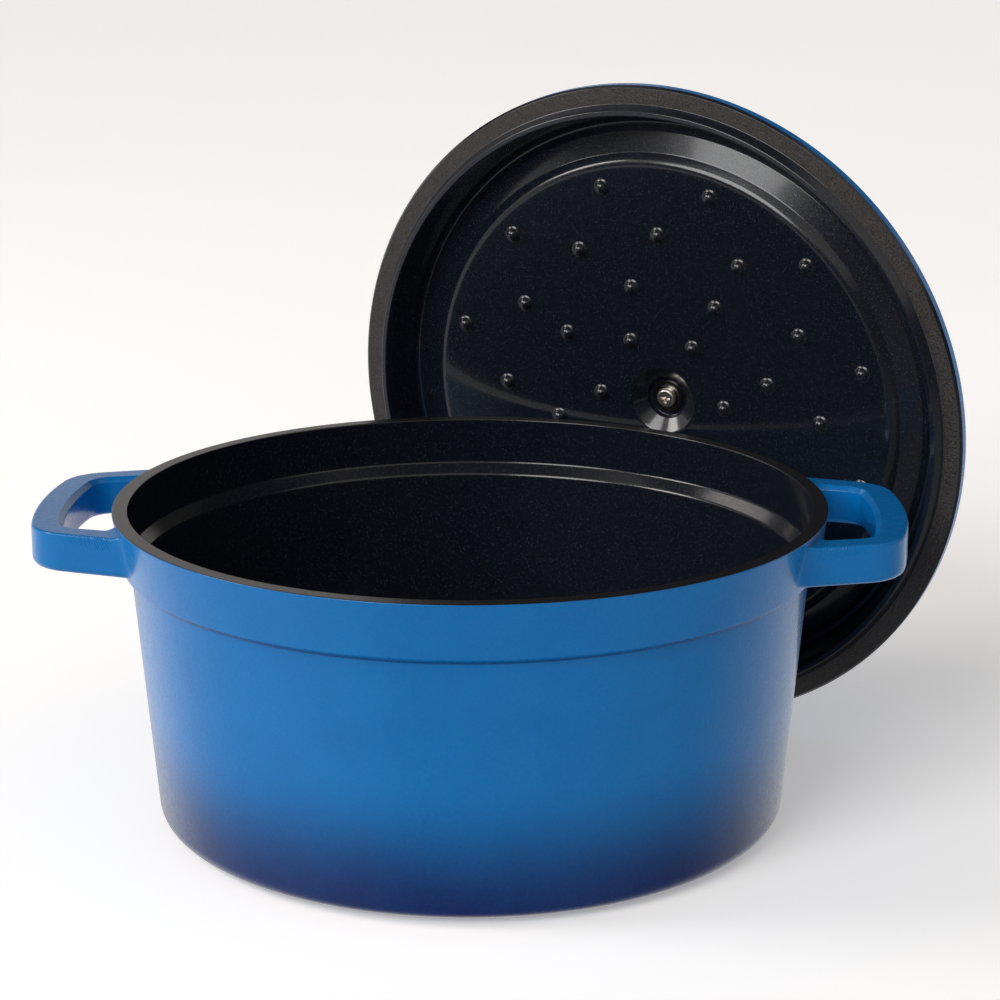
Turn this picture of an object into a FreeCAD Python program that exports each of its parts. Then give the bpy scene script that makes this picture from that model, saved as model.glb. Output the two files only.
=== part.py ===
import FreeCAD, Part
import math
import os
import re

import Sketcher

os.makedirs("parts", exist_ok=True)
doc = FreeCAD.newDocument("dutch_oven")

# Driving sizes, in millimetres and degrees. Heights of the pot are above its foot. The lid is drawn
# as it sits on the pot, with its flange at height 0 and its outside up; a "rise" is a height there.
SIZES = {
    # pot: rim, rim band and walls
    "rim_radius": 145.0,
    "rim_width": 6.3,
    "pot_height": 132.0,
    "band_height": 22.0,
    "band_taper": 3.7,
    "band_step": 3.4,
    "band_step_drop": 2.4,
    "wall_thickness": 4.1,
    "wall_draft": 5.0,
    "shoulder_depth": 20.0,
    "shoulder_drop": 4.4,
    "rim_break": 0.5,
    # pot: base
    "floor_thickness": 5.5,
    "foot_radius": 114.0,
    "foot_height": 3.0,
    "base_lift": 2.0,
    "base_fillet": 24.0,
    "inner_fillet": 20.0,
    # pot: loop handles
    "handle_drop": 3.1,
    "handle_height": 16.2,
    "handle_reach": 31.5,
    "handle_crown": 5.5,
    "handle_half_outer": 45.0,
    "handle_half_inner": 37.0,
    "handle_bar": 12.0,
    "handle_root_outer": 24.5,
    "handle_root_inner": 18.0,
    "handle_anchor": 1.5,
    "handle_corner": 20.0,
    "handle_opening_corner": 10.0,
    "handle_opening_chamfer": 2.0,
    "handle_top_round": 1.0,
    "handle_bottom_round": 3.0,
    # lid: flange, lip and channel on its underside
    "lid_edge_bevel": 1.0,
    "lid_edge_rise": 1.2,
    "lid_edge_height": 5.2,
    "flange_width": 7.1,
    "lip_height": 3.8,
    "lip_width": 2.2,
    "lip_slope": 2.4,
    "channel_wall_slope": 5.2,
    "channel_rise": 17.7,
    "channel_width": 5.0,
    "channel_inner_rise": 14.9,
    "border_slope_width": 8.7,
    "border_rise": 11.8,
    "border_width": 4.2,
    # lid: dished panel, funnel and screw recess
    "panel_rise": 14.5,
    "panel_crown": 6.0,
    "funnel_radius": 15.5,
    "recess_mouth_radius": 9.5,
    "recess_mouth_rise": 18.8,
    "recess_radius": 9.0,
    "recess_rise": 21.0,
    "screw_clearance": 0.3,
    "thread_clearance": 0.3,
    "knob_fit": 0.3,
    # lid: basting bumps in four rings
    "bump_radius": 2.8,
    "bump_ring_first": 30.0,
    "bump_ring_second": 53.0,
    "bump_ring_third": 76.6,
    "bump_ring_fourth": 99.8,
    # lid: outside
    "lid_back_slope": 4.0,
    "lid_skirt_width": 5.0,
    "lid_skirt_rise": 8.6,
    "lid_skirt_fall": 1.0,
    "lid_wall_slope": 3.4,
    "lid_shoulder_rise": 18.8,
    "lid_ridge_rise": 22.6,
    "lid_ridge_outer": 5.8,
    "lid_ridge_width": 8.0,
    "lid_well_slope": 10.5,
    "lid_well_rise": 13.4,
    "lid_dome_rise": 18.5,
    "boss_radius": 15.5,
    "boss_slope": 3.0,
    "boss_rise": 24.5,
    "lid_soft_edge": 2.0,
    "lid_crest_edge": 5.0,
    "lid_fine_edge": 0.6,
    # knob and its fastening
    "gasket_radius": 14.5,
    "gasket_thickness": 1.2,
    "knob_foot_radius": 12.5,
    "knob_neck_radius": 9.5,
    "knob_neck_height": 9.0,
    "knob_radius": 23.0,
    "knob_edge_height": 19.0,
    "knob_height": 27.0,
    "knob_wall": 1.5,
    "knob_lining_drop": 0.4,
    "knob_waist_round": 8.0,
    "knob_plate": 2.0,
    "insert_radius": 6.0,
    "insert_height": 15.0,
    "insert_bore_depth": 12.0,
    "screw_radius": 2.5,
    "screw_point_radius": 1.75,
    "screw_point_length": 0.8,
    "screw_engagement": 9.0,
    "screw_head_radius": 4.3,
    "screw_head_flat_radius": 3.4,
    "screw_head_height": 2.2,
    "screw_head_edge": 0.9,
    "screw_head_curve": 2.4,
    "drive_width": 1.1,
    "drive_length": 4.6,
    "drive_depth": 1.3,
    "washer_radius": 7.0,
    "washer_thickness": 0.8,
    "lock_washer_radius": 4.2,
    "lock_washer_thickness": 1.0,
    "lock_washer_gap": 0.8,
    # where the lid stands, leaning on the pot's rim
    "lean_angle": 5.7,
    "lean_turn": 25.6,
    "lean_offset": 18.1,
    "lean_clearance": 0.2,
    "lid_spin": 1.0,
}

sheet = doc.addObject("Spreadsheet::Sheet", "sizes")
for row, (alias, size) in enumerate(SIZES.items(), start=1):
    sheet.set(f"A{row}", str(size))
    sheet.setAlias(f"A{row}", alias)
doc.recompute()

NEAR = 0.02  # how close two places in millimetres count as the same


def bound(text):
    """The expression with each size's name made a reference to its cell."""
    return re.sub(r"[a-z_]+", lambda m: "sizes." + m[0] if m[0] in SIZES else m[0], text)


def number(text):
    """The value that an expression has now."""
    return float(sheet.evalExpression(bound(text)))


def bind(feature, **expressions):
    """Ties properties to expressions of the sizes."""
    for name, text in expressions.items():
        feature.setExpression(name, bound(text))


def new_body(label):
    body = doc.addObject("PartDesign::Body", label)
    body.Label = label
    return body


def origin_part(body, role):
    for feature in body.Origin.OriginFeatures:
        if feature.Role == role:
            return feature
    raise ValueError(role)


def new_sketch(body, name, plane, height=None):
    """An empty sketch on one of the body's origin planes, raised by an expression where given."""
    sketch = body.newObject("Sketcher::SketchObject", name)
    sketch.AttachmentSupport = [(origin_part(body, plane), "")]
    sketch.MapMode = "FlatFace"
    if height:
        sketch.setExpression("AttachmentOffset.Base.z", bound(height))
    return sketch


def arc_between(start, end, radius):
    """A minor arc from start to end. Its centre is on the right of the way there if radius > 0."""
    middle = (start + end) * 0.5
    along = end - start
    half = along.Length / 2
    side = FreeCAD.Vector(along.y, -along.x, 0).normalize() * math.copysign(1, radius)
    centre = middle + side * math.sqrt(radius * radius - half * half)
    mid_point = centre - side * abs(radius)
    return Part.Arc(start, mid_point, end)


def draw_loop(sketch, corners, arcs=None):
    """A closed outline through corners, given as expressions. arcs: corner number to signed radius."""
    arcs = arcs or {}
    points = [FreeCAD.Vector(number(x), number(y), 0) for x, y in corners]
    count = len(points)
    ends = []
    for i, start in enumerate(points):
        end = points[(i + 1) % count]
        if i in arcs:
            curve = arc_between(start, end, number(arcs[i]))
            geometry = sketch.addGeometry(curve)
            turns_left = number(arcs[i]) < 0
            ends.append((geometry, 1, 2) if turns_left else (geometry, 2, 1))
        else:
            geometry = sketch.addGeometry(Part.LineSegment(start, end))
            ends.append((geometry, 1, 2))
    for i in range(count):
        here, onward = ends[i], ends[(i + 1) % count]
        sketch.addConstraint(Sketcher.Constraint("Coincident", here[0], here[2], onward[0], onward[1]))
    for i, (x, y) in enumerate(corners):
        geometry, first, _ = ends[i]
        for kind, text in (("DistanceX", x), ("DistanceY", y)):
            if text == "0":
                axis = -2 if kind == "DistanceX" else -1
                sketch.addConstraint(Sketcher.Constraint("PointOnObject", geometry, first, axis))
                continue
            place = Sketcher.Constraint(kind, -1, 1, geometry, first, number(text))
            sketch.setExpression(f"Constraints[{sketch.addConstraint(place)}]", bound(text))
    for i, text in arcs.items():
        size = number(text)
        radius = sketch.addConstraint(Sketcher.Constraint("Radius", ends[i][0], abs(size)))
        sketch.setExpression(f"Constraints[{radius}]", bound(f"abs({text})"))


def draw_circle(sketch, radius):
    circle = Part.Circle(FreeCAD.Vector(0, 0, 0), FreeCAD.Vector(0, 0, 1), number(radius))
    geometry = sketch.addGeometry(circle)
    sketch.addConstraint(Sketcher.Constraint("Coincident", geometry, 3, -1, 1))
    size = sketch.addConstraint(Sketcher.Constraint("Radius", geometry, number(radius)))
    sketch.setExpression(f"Constraints[{size}]", bound(radius))


def turned(body, name, corners, arcs=None):
    """A solid turned about Z from an outline of (radius, height) corners."""
    sketch = new_sketch(body, name + "_outline", "XZ_Plane")
    draw_loop(sketch, corners, arcs)
    doc.recompute()
    solid = body.newObject("PartDesign::Revolution", name)
    solid.Profile = sketch
    solid.ReferenceAxis = (sketch, ["V_Axis"])
    solid.Angle = 360
    sketch.Visibility = False
    doc.recompute()
    return solid


def padded(body, name, sketch, length):
    pad = body.newObject("PartDesign::Pad", name)
    pad.Profile = sketch
    bind(pad, Length=length)
    sketch.Visibility = False
    doc.recompute()
    return pad


def edges_where(feature, wanted):
    """Names of the feature's edges that a test picks."""
    return [f"Edge{i}" for i, edge in enumerate(feature.Shape.Edges, start=1) if wanted(edge)]


def ring_edges(feature, places):
    """Names of the full circles about Z that lie at (radius, height) places."""
    spots = [(number(radius), number(height)) for radius, height in places]

    def wanted(edge):
        if edge.Degenerated or not edge.isClosed() or not isinstance(edge.Curve, Part.Circle):
            return False
        circle = edge.Curve
        return any(abs(circle.Radius - r) < NEAR and abs(circle.Center.z - z) < NEAR for r, z in spots)

    names = edges_where(feature, wanted)
    if len(names) != len(spots):
        raise ValueError(f"{feature.Name}: {len(names)} of {len(spots)} ring edges found")
    return names


def rounded(body, name, base, edges, radius):
    fillet = body.newObject("PartDesign::Fillet", name)
    fillet.Base = (base, edges)
    bind(fillet, Radius=radius)
    doc.recompute()
    return fillet


def chamfered(body, name, base, edges, size):
    chamfer = body.newObject("PartDesign::Chamfer", name)
    chamfer.Base = (base, edges)
    bind(chamfer, Size=size)
    doc.recompute()
    return chamfer


# ---- Pot: a turned vessel with a stepped rim band, a foot disc and two cast-on loop handles ----

BAND_LOW = ("rim_radius - band_taper", "pot_height - band_height")
WALL_TOP = ("rim_radius - band_taper - band_step", "pot_height - band_height - band_step_drop")
BASE_EDGE = (f"{WALL_TOP[0]} - ({WALL_TOP[1]} - base_lift) * tan(wall_draft)", "base_lift")
SHOULDER_LOW = (f"{WALL_TOP[0]} - wall_thickness", "pot_height - shoulder_depth - shoulder_drop")
FLOOR_EDGE = (
    f"{SHOULDER_LOW[0]} - ({SHOULDER_LOW[1]} - floor_thickness) * tan(wall_draft)",
    "floor_thickness",
)
RIM_OUTER = ("rim_radius", "pot_height")
RIM_INNER = ("rim_radius - rim_width", "pot_height")
SHOULDER_TOP = ("rim_radius - rim_width", "pot_height - shoulder_depth")


def build_vessel():
    body = new_body("vessel")
    corners = [("0", "base_lift"), BASE_EDGE, WALL_TOP, BAND_LOW, RIM_OUTER, RIM_INNER]
    corners += [SHOULDER_TOP, SHOULDER_LOW, FLOOR_EDGE, ("0", "floor_thickness")]
    wall = turned(body, "vessel_wall", corners)
    base = rounded(body, "vessel_base_round", wall, ring_edges(wall, [BASE_EDGE]), "base_fillet")
    inside = rounded(body, "vessel_floor_round", base, ring_edges(base, [FLOOR_EDGE]), "inner_fillet")
    rounded(body, "vessel_rim_break", inside, ring_edges(inside, [RIM_OUTER, RIM_INNER]), "rim_break")
    foot_sketch = new_sketch(body, "foot_circle", "XY_Plane")
    draw_circle(foot_sketch, "foot_radius")
    padded(body, "foot", foot_sketch, "foot_height + base_lift")
    return body


def build_handle():
    """One loop handle, on the +X side. Its two roots end inside the rim band's wall."""
    body = new_body("handle")
    anchor = "(rim_radius - band_taper - handle_anchor)"
    crown = "rim_radius + handle_reach"
    opening = f"{crown} - handle_bar"
    outer_root = (f"{anchor} * cos(handle_root_outer)", f"{anchor} * sin(handle_root_outer)")
    inner_root = (f"{anchor} * cos(handle_root_inner)", f"{anchor} * sin(handle_root_inner)")
    outer_corner = (f"{crown} - handle_crown", "handle_half_outer")
    inner_crown = "handle_crown * handle_half_inner / handle_half_outer"
    inner_corner = (f"{opening} - {inner_crown}", "handle_half_inner")
    half = [outer_root, outer_corner, inner_corner, inner_root]

    def mirrored(corner):
        return (corner[0], f"-({corner[1]})")

    corners = [mirrored(outer_root), mirrored(outer_corner), outer_corner, outer_root]
    corners += [inner_root, inner_corner, mirrored(inner_corner), mirrored(inner_root)]
    outer_arc = "(handle_half_outer ^ 2 + handle_crown ^ 2) / (2 * handle_crown)"
    sketch = new_sketch(body, "handle_outline", "XY_Plane", "pot_height - handle_drop - handle_height")
    draw_loop(sketch, corners, {1: f"-({outer_arc})", 5: f"({outer_arc})"})
    doc.recompute()
    bar = padded(body, "handle_bar_pad", sketch, "handle_height")

    top = number("pot_height - handle_drop")
    bottom = top - number("handle_height")

    def upright_at(corner):
        x, y = number(corner[0]), number(corner[1])

        def wanted(edge):
            low, high = edge.Vertexes[0].Point, edge.Vertexes[-1].Point
            upright = abs(low.x - high.x) < NEAR and abs(low.y - high.y) < NEAR
            return upright and abs(low.x - x) < NEAR and abs(abs(low.y) - y) < NEAR

        return wanted

    outer_edges = edges_where(bar, upright_at(outer_corner))
    outside = rounded(body, "handle_corners", bar, outer_edges, "handle_corner")
    inner_edges = edges_where(outside, upright_at(inner_corner))
    inside = rounded(body, "handle_opening_corners", outside, inner_edges, "handle_opening_corner")

    def level_edges(height, inner):
        """Edges at a height on the opening's side, or on the outer side, of the bar."""

        def wanted(edge):
            box = edge.BoundBox
            if box.ZLength > NEAR or abs(box.ZMin - height) > NEAR:
                return False
            middle = edge.valueAt((edge.FirstParameter + edge.LastParameter) / 2)
            if middle.x < number(inner_root[0]):
                return False
            return on_opening(middle) == inner and not is_root_end(edge)

        return wanted

    def on_opening(point):
        half_way_x = number(f"{crown} - handle_bar / 2 - handle_crown")
        half_width = number("(handle_half_outer + handle_half_inner) / 2")
        spread = number(f"({outer_root[1]} + {inner_root[1]}) / 2") - half_width
        run = half_way_x - number(inner_root[0])
        limit = half_width + spread * (half_way_x - point.x) / run
        edge_x = number(f"{crown} - handle_bar / 2") - number("handle_crown") * (point.y / half_width) ** 2
        return point.x < edge_x and abs(point.y) < limit

    def is_root_end(edge):
        radii = [math.hypot(v.Point.x, v.Point.y) for v in edge.Vertexes]
        return all(abs(radius - number(anchor)) < NEAR for radius in radii)

    opening_top = edges_where(inside, level_edges(top, True))
    eased = chamfered(body, "handle_opening_chamfer_cut", inside, opening_top, "handle_opening_chamfer")
    outer_top = edges_where(eased, level_edges(top, False))
    topped = rounded(body, "handle_top_edges", eased, outer_top, "handle_top_round")
    low_edges = edges_where(topped, level_edges(bottom, True))
    low_edges += edges_where(topped, level_edges(bottom, False))
    rounded(body, "handle_bottom_edges", topped, low_edges, "handle_bottom_round")
    return body


def build_pot():
    vessel = build_vessel()
    handle = build_handle()
    other = doc.addObject("Part::Mirroring", "handle_mirrored")
    other.Source = handle
    other.Normal = (1, 0, 0)
    pot = doc.addObject("Part::MultiFuse", "pot_body")
    pot.Shapes = [vessel, handle, other]
    pot.Refine = True
    doc.recompute()
    return pot


# ---- Lid: a turned casting drawn flat, with bumps on its underside, then stood against the pot ----

FLANGE_INNER = "rim_radius - lid_edge_bevel - flange_width"
LIP_INNER = f"{FLANGE_INNER} - lip_slope - lip_width"
CHANNEL_OUTER = f"{LIP_INNER} - channel_wall_slope"
CHANNEL_INNER = f"{CHANNEL_OUTER} - channel_width"
BORDER_OUTER = f"{CHANNEL_INNER} - border_slope_width"
PANEL_EDGE = f"{BORDER_OUTER} - border_width"
PANEL_SPHERE = f"((({PANEL_EDGE}) ^ 2 + panel_crown ^ 2) / (2 * panel_crown))"
SKIRT = "rim_radius - lid_back_slope - lid_skirt_width"
WALL_HEAD = f"{SKIRT} - lid_wall_slope"
RIDGE_OUTER = f"{WALL_HEAD} - lid_ridge_outer"
RIDGE_INNER = f"{RIDGE_OUTER} - lid_ridge_width"
WELL_EDGE = f"{RIDGE_INNER} - lid_well_slope"
DOME_EDGE = "boss_radius + boss_slope"
DOME_CROWN = "(lid_dome_rise - lid_well_rise)"
DOME_SPHERE = f"((({WELL_EDGE}) ^ 2 + {DOME_CROWN} ^ 2) / (2 * {DOME_CROWN}))"
SCREW_HOLE = "screw_radius + screw_clearance"


def panel_height(radius):
    return f"panel_rise - {PANEL_SPHERE} + sqrt({PANEL_SPHERE} ^ 2 - ({radius}) ^ 2)"


def dome_height(radius):
    return f"lid_dome_rise - {DOME_SPHERE} + sqrt({DOME_SPHERE} ^ 2 - ({radius}) ^ 2)"


# ring radius, how many bumps, and the angle of the first in degrees
BUMP_RINGS = [
    ("bump_ring_first", 6, 0.0),
    ("bump_ring_second", 8, 30.0),
    ("bump_ring_third", 12, 0.0),
    ("bump_ring_fourth", 12, 15.0),
]
RING_POINTS = 1440  # where each ring of the pot's band is compared with the lid's panel
BAND_LEVELS = 12  # rings of the band, from the rim down
SEAT_ROUNDS = 8


def bump_centres():
    """The places of all the bumps on the lid as it is drawn."""
    centres = []
    for ring, count, start in BUMP_RINGS:
        radius, height = number(ring), number(panel_height(ring))
        for k in range(count):
            angle = math.radians(start + 360 * k / count)
            centres.append(FreeCAD.Vector(radius * math.cos(angle), radius * math.sin(angle), height))
    return centres


def rim_gap(placement):
    """The least gap along the lid's axis between the pot's band and the lid's panel with its bumps."""
    sphere, rise, bump = number(PANEL_SPHERE), number("panel_rise"), number("bump_radius")
    panel_edge = number(PANEL_EDGE)
    centres = bump_centres()
    to_lid = placement.inverse()
    gaps = []
    for level in range(BAND_LEVELS):
        share = level / BAND_LEVELS
        across = number("rim_radius") - number("band_taper") * share
        height = number("pot_height") - number("band_height") * share
        for k in range(RING_POINTS):
            angle = 2 * math.pi * k / RING_POINTS
            point = FreeCAD.Vector(across * math.cos(angle), across * math.sin(angle), height)
            spot = to_lid.multVec(point)
            radius = math.hypot(spot.x, spot.y)
            if radius > panel_edge:
                continue
            gap = rise - sphere + math.sqrt(sphere ** 2 - radius ** 2) - spot.z
            gaps.append(gap)
            if gap > 2 * bump:
                continue
            for centre in centres:
                aside = math.hypot(spot.x - centre.x, spot.y - centre.y)
                if aside < bump:
                    gaps.append(centre.z - math.sqrt(bump ** 2 - aside ** 2) - spot.z)
    return min(gaps)


def lid_placement():
    """Where a piece drawn on the seated lid goes: on the floor, its panel just clear of the rim."""
    lean = math.radians(number("lean_angle"))
    turn = number("lean_turn")
    rise = number("rim_radius") * math.cos(lean) - number("lid_edge_rise") * math.sin(lean)
    away = FreeCAD.Vector(math.sin(math.radians(turn)), math.cos(math.radians(turn)), 0)
    aside = FreeCAD.Vector(away.y, -away.x, 0)
    upright = FreeCAD.Rotation(FreeCAD.Vector(1, 0, 0), -(90 - number("lean_angle")))
    yaw = FreeCAD.Rotation(FreeCAD.Vector(0, 0, 1), -turn)
    spin = FreeCAD.Rotation(FreeCAD.Vector(0, 0, 1), number("lid_spin"))
    distance = number("rim_radius")
    for _ in range(SEAT_ROUNDS):
        base = away * distance + aside * number("lean_offset") + FreeCAD.Vector(0, 0, rise)
        placement = FreeCAD.Placement(base, yaw * upright * spin)
        distance += (number("lean_clearance") - rim_gap(placement)) / math.cos(lean)
    return placement


def build_lid():
    body = new_body("lid_body")
    underside = [
        (SCREW_HOLE, "recess_rise"),
        ("recess_radius", "recess_rise"),
        ("recess_mouth_radius", "recess_mouth_rise"),
        ("funnel_radius", panel_height("funnel_radius")),
        (PANEL_EDGE, panel_height(PANEL_EDGE)),
        (BORDER_OUTER, "border_rise"),
        (CHANNEL_INNER, "channel_inner_rise"),
        (CHANNEL_OUTER, "channel_rise"),
        (LIP_INNER, "-lip_height"),
        (f"{LIP_INNER} + lip_width", "-lip_height"),
        (FLANGE_INNER, "0"),
        ("rim_radius - lid_edge_bevel", "0"),
        ("rim_radius", "lid_edge_rise"),
    ]
    outside = [
        ("rim_radius", "lid_edge_height"),
        ("rim_radius - lid_back_slope", "lid_skirt_rise - lid_skirt_fall"),
        (SKIRT, "lid_skirt_rise"),
        (WALL_HEAD, "lid_shoulder_rise"),
        (RIDGE_OUTER, "lid_ridge_rise"),
        (RIDGE_INNER, "lid_ridge_rise"),
        (WELL_EDGE, dome_height(WELL_EDGE)),
        (DOME_EDGE, dome_height(DOME_EDGE)),
        ("boss_radius", "boss_rise"),
        (SCREW_HOLE, "boss_rise"),
    ]
    corners = underside + outside
    panel_start = corners.index(("funnel_radius", panel_height("funnel_radius")))
    dome_start = corners.index((WELL_EDGE, dome_height(WELL_EDGE)))
    arcs = {panel_start: PANEL_SPHERE, dome_start: f"-{DOME_SPHERE}"}
    casting = turned(body, "lid_casting", corners, arcs)
    soft = [(WALL_HEAD, "lid_shoulder_rise"), (RIDGE_OUTER, "lid_ridge_rise"), (SKIRT, "lid_skirt_rise")]
    soft += [(RIDGE_INNER, "lid_ridge_rise"), (WELL_EDGE, dome_height(WELL_EDGE))]
    soft += [(DOME_EDGE, dome_height(DOME_EDGE)), (BORDER_OUTER, "border_rise")]
    soft += [("funnel_radius", panel_height("funnel_radius")), (CHANNEL_OUTER, "channel_rise")]
    eased = rounded(body, "lid_soft_edges", casting, ring_edges(casting, soft), "lid_soft_edge")
    crest = ring_edges(eased, [(PANEL_EDGE, panel_height(PANEL_EDGE))])
    crested = rounded(body, "lid_crest", eased, crest, "lid_crest_edge")
    fine = [(LIP_INNER, "-lip_height"), (f"{LIP_INNER} + lip_width", "-lip_height")]
    fine += [(FLANGE_INNER, "0"), ("rim_radius", "lid_edge_rise"), ("rim_radius", "lid_edge_height")]
    crisp = rounded(body, "lid_fine_edges", crested, ring_edges(crested, fine), "lid_fine_edge")
    last = crisp
    for radius, count, start in BUMP_RINGS:
        last = add_bumps(body, radius, count, start)
    body.Tip = last
    doc.recompute()
    return body


def add_bumps(body, radius, count, start):
    """A ring of half balls that stand out of the panel, the first at an angle of start degrees."""
    ball = body.newObject("PartDesign::AdditiveSphere", radius + "_ball")
    bind(ball, Radius="bump_radius")
    ball.setExpression("Placement.Base.x", bound(f"{radius} * cos({start})"))
    ball.setExpression("Placement.Base.y", bound(f"{radius} * sin({start})"))
    ball.setExpression("Placement.Base.z", bound(panel_height(radius)))
    doc.recompute()
    pattern = body.newObject("PartDesign::PolarPattern", radius + "_pattern")
    pattern.Originals = [ball]
    pattern.Axis = (origin_part(body, "Z_Axis"), [""])
    pattern.Angle = 360
    pattern.Occurrences = count
    body.Tip = pattern
    doc.recompute()
    return pattern


# ---- Knob and its fastening, all on the lid's axis ----

GASKET_TOP = "boss_rise + gasket_thickness"
KNOB_EDGE = f"{GASKET_TOP} + knob_edge_height"
KNOB_TOP = f"{GASKET_TOP} + knob_height"
KNOB_NECK = f"{GASKET_TOP} + knob_neck_height"
HEAD_TOP = "recess_rise - washer_thickness - lock_washer_thickness"


def build_knob_shell():
    """A spun steel cap: a waisted neck that opens into a mushroom head, hollow inside."""
    body = new_body("knob_shell")
    outside = [
        ("knob_foot_radius", GASKET_TOP),
        ("knob_foot_radius", f"{GASKET_TOP} + knob_plate"),
        ("knob_neck_radius", KNOB_NECK),
        ("knob_radius", KNOB_EDGE),
        ("0", KNOB_TOP),
    ]
    inside = [
        ("0", f"{KNOB_TOP} - knob_wall"),
        ("knob_radius - 2 * knob_wall", f"{KNOB_EDGE} - knob_lining_drop"),
        ("knob_neck_radius - knob_wall", KNOB_NECK),
        ("knob_foot_radius - knob_wall", f"{GASKET_TOP} + knob_plate"),
        ("knob_foot_radius - knob_wall", GASKET_TOP),
    ]
    crown = "(knob_height - knob_edge_height)"
    head = f"((knob_radius ^ 2 + {crown} ^ 2) / (2 * {crown}))"
    arcs = {3: f"-{head}", 5: f"({head} - knob_wall)"}
    shell = turned(body, "knob_cap", outside + inside, arcs)
    waist = [("knob_neck_radius", KNOB_NECK), ("knob_neck_radius - knob_wall", KNOB_NECK)]
    smooth = rounded(body, "knob_waist", shell, ring_edges(shell, waist), "knob_waist_round")
    rim = ring_edges(smooth, [("knob_radius", KNOB_EDGE)])
    rounded(body, "knob_rim", smooth, rim, "knob_wall")
    return body


def build_ring(label, outer, inner, bottom, top):
    """A flat ring between two heights on the lid's axis."""
    body = new_body(label)
    turned(body, label + "_ring", [(inner, bottom), (outer, bottom), (outer, top), (inner, top)])
    return body


def build_insert():
    """The threaded bush inside the knob, open at the bottom, with its thread left plain."""
    body = new_body("knob_insert")
    bore_top = f"{GASKET_TOP} + insert_bore_depth"
    top = f"{GASKET_TOP} + insert_height"
    bore = "screw_radius + thread_clearance"
    corners = [(bore, GASKET_TOP), ("insert_radius", GASKET_TOP), ("insert_radius", top), ("0", top)]
    corners += [("0", bore_top), (bore, bore_top)]
    turned(body, "knob_insert_bush", corners)
    return body


def build_screw():
    """A pan head screw that points up through the lid into the knob, its cross drive at the bottom."""
    body = new_body("knob_screw")
    tip = f"{GASKET_TOP} + screw_engagement"
    low = f"{HEAD_TOP} - screw_head_height"
    corners = [
        ("0", low),
        ("screw_head_flat_radius", low),
        ("screw_head_radius", f"{HEAD_TOP} - screw_head_edge"),
        ("screw_head_radius", HEAD_TOP),
        ("screw_radius", HEAD_TOP),
        ("screw_radius", f"{tip} - screw_point_length"),
        ("screw_point_radius", tip),
        ("0", tip),
    ]
    turned(body, "screw_blank", corners, {1: "-screw_head_curve"})
    sketch = new_sketch(body, "drive_cross", "XY_Plane", low)
    wide, long = "drive_width / 2", "drive_length / 2"
    cross = [(long, wide), (wide, wide), (wide, long)]
    cross += [(f"-({wide})", long), (f"-({wide})", wide), (f"-({long})", wide)]
    cross += [(f"-({x})", f"-({y})") for x, y in cross[:3]]
    cross += [(wide, f"-({long})"), (wide, f"-({wide})"), (long, f"-({wide})")]
    draw_loop(sketch, cross)
    doc.recompute()
    drive = body.newObject("PartDesign::Pocket", "screw_drive")
    drive.Profile = sketch
    drive.Reversed = True
    bind(drive, Length="drive_depth")
    sketch.Visibility = False
    doc.recompute()
    return body


def build_lock_washer():
    """A split spring washer between the screw's head and the flat washer."""
    body = new_body("lock_washer")
    low, high = HEAD_TOP, f"{HEAD_TOP} + lock_washer_thickness"
    outer = "lock_washer_radius"
    turned(body, "lock_washer_ring", [(SCREW_HOLE, low), (outer, low), (outer, high), (SCREW_HOLE, high)])
    sketch = new_sketch(body, "lock_washer_split", "XY_Plane", low)
    half_gap = "lock_washer_gap / 2"
    beyond = "lock_washer_radius + lock_washer_gap"
    split = [("0", f"-({half_gap})"), (beyond, f"-({half_gap})"), (beyond, half_gap), ("0", half_gap)]
    draw_loop(sketch, split)
    doc.recompute()
    cut = body.newObject("PartDesign::Pocket", "lock_washer_cut")
    cut.Profile = sketch
    cut.Reversed = True
    bind(cut, Length="lock_washer_thickness")
    sketch.Visibility = False
    doc.recompute()
    return body


def build_parts():
    lid_pieces = [
        build_lid(),
        build_ring("knob_gasket", "gasket_radius", SCREW_HOLE, "boss_rise", GASKET_TOP),
        build_ring(
            "knob_base_plate",
            "knob_foot_radius - knob_wall - knob_fit",
            "insert_radius + knob_fit",
            GASKET_TOP,
            f"{GASKET_TOP} + knob_plate",
        ),
        build_knob_shell(),
        build_insert(),
        build_screw(),
        build_lock_washer(),
        build_ring(
            "flat_washer",
            "washer_radius",
            SCREW_HOLE,
            f"{HEAD_TOP} + lock_washer_thickness",
            "recess_rise",
        ),
    ]
    leaning = lid_placement()
    for piece in lid_pieces:
        piece.Placement = leaning
    return [build_pot()] + lid_pieces


def export(pieces):
    doc.recompute()
    for thing in doc.Objects:
        if "Invalid" in thing.State or "Error" in thing.State:
            raise RuntimeError(f"{thing.Label} did not build: {thing.State}")
    for piece in pieces:
        shape = piece.Shape
        if shape.isNull() or not shape.isValid() or not shape.Solids:
            raise RuntimeError(f"{piece.Label} has no sound solid")
        shape.exportStep(f"parts/{piece.Label}.step")


export(build_parts())
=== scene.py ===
"""Looks of the dutch oven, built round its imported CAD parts.

The sizes of the pot and the lid are in millimetres, and MM turns them into metres. Materials, lights
and the camera are in metres."""

import math

import bpy
from mathutils import Matrix, Vector, noise


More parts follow.
